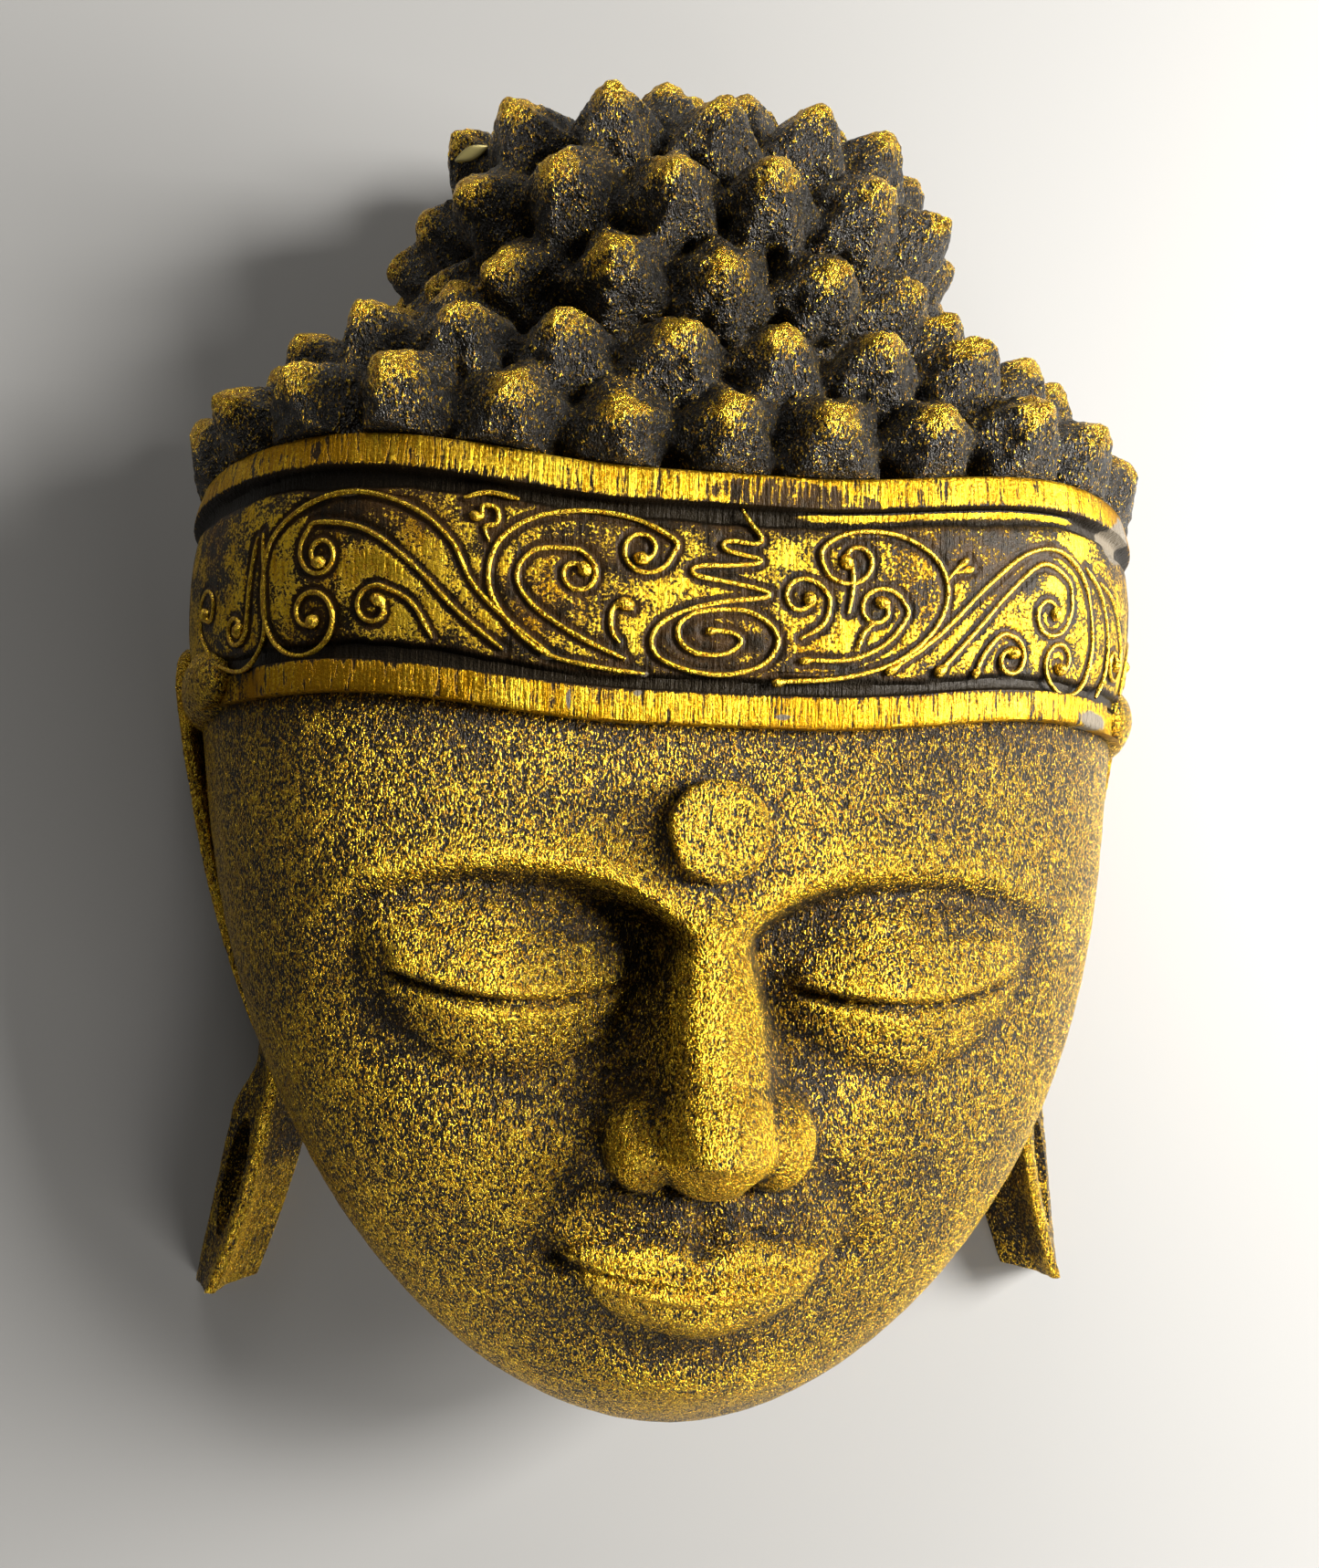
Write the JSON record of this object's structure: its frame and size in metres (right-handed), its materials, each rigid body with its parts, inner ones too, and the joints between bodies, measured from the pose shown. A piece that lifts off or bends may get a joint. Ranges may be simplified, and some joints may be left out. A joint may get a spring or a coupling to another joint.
{
  "type": "buddha mask",
  "caption": "Carved wooden buddha head mask with a scrolled headband, pointed hair knobs, a topknot, long lobed ears and a hollow back, lying face up.",
  "frame": {"origin": "middle of the flat back, in the plane it lies on, under the middle of the mask's bounding box", "axes": "+Z out of the face, +Y from chin to topknot, +X to the right seen from the front"},
  "size_m": [0.2252, 0.2902, 0.1041],
  "materials": {
    "gilded_wood": "worn gold paint rubbed over black on carved wood"
  },
  "bodies": {
    "root": {"mask": "gilded_wood"}
  },
  "joints": []
}
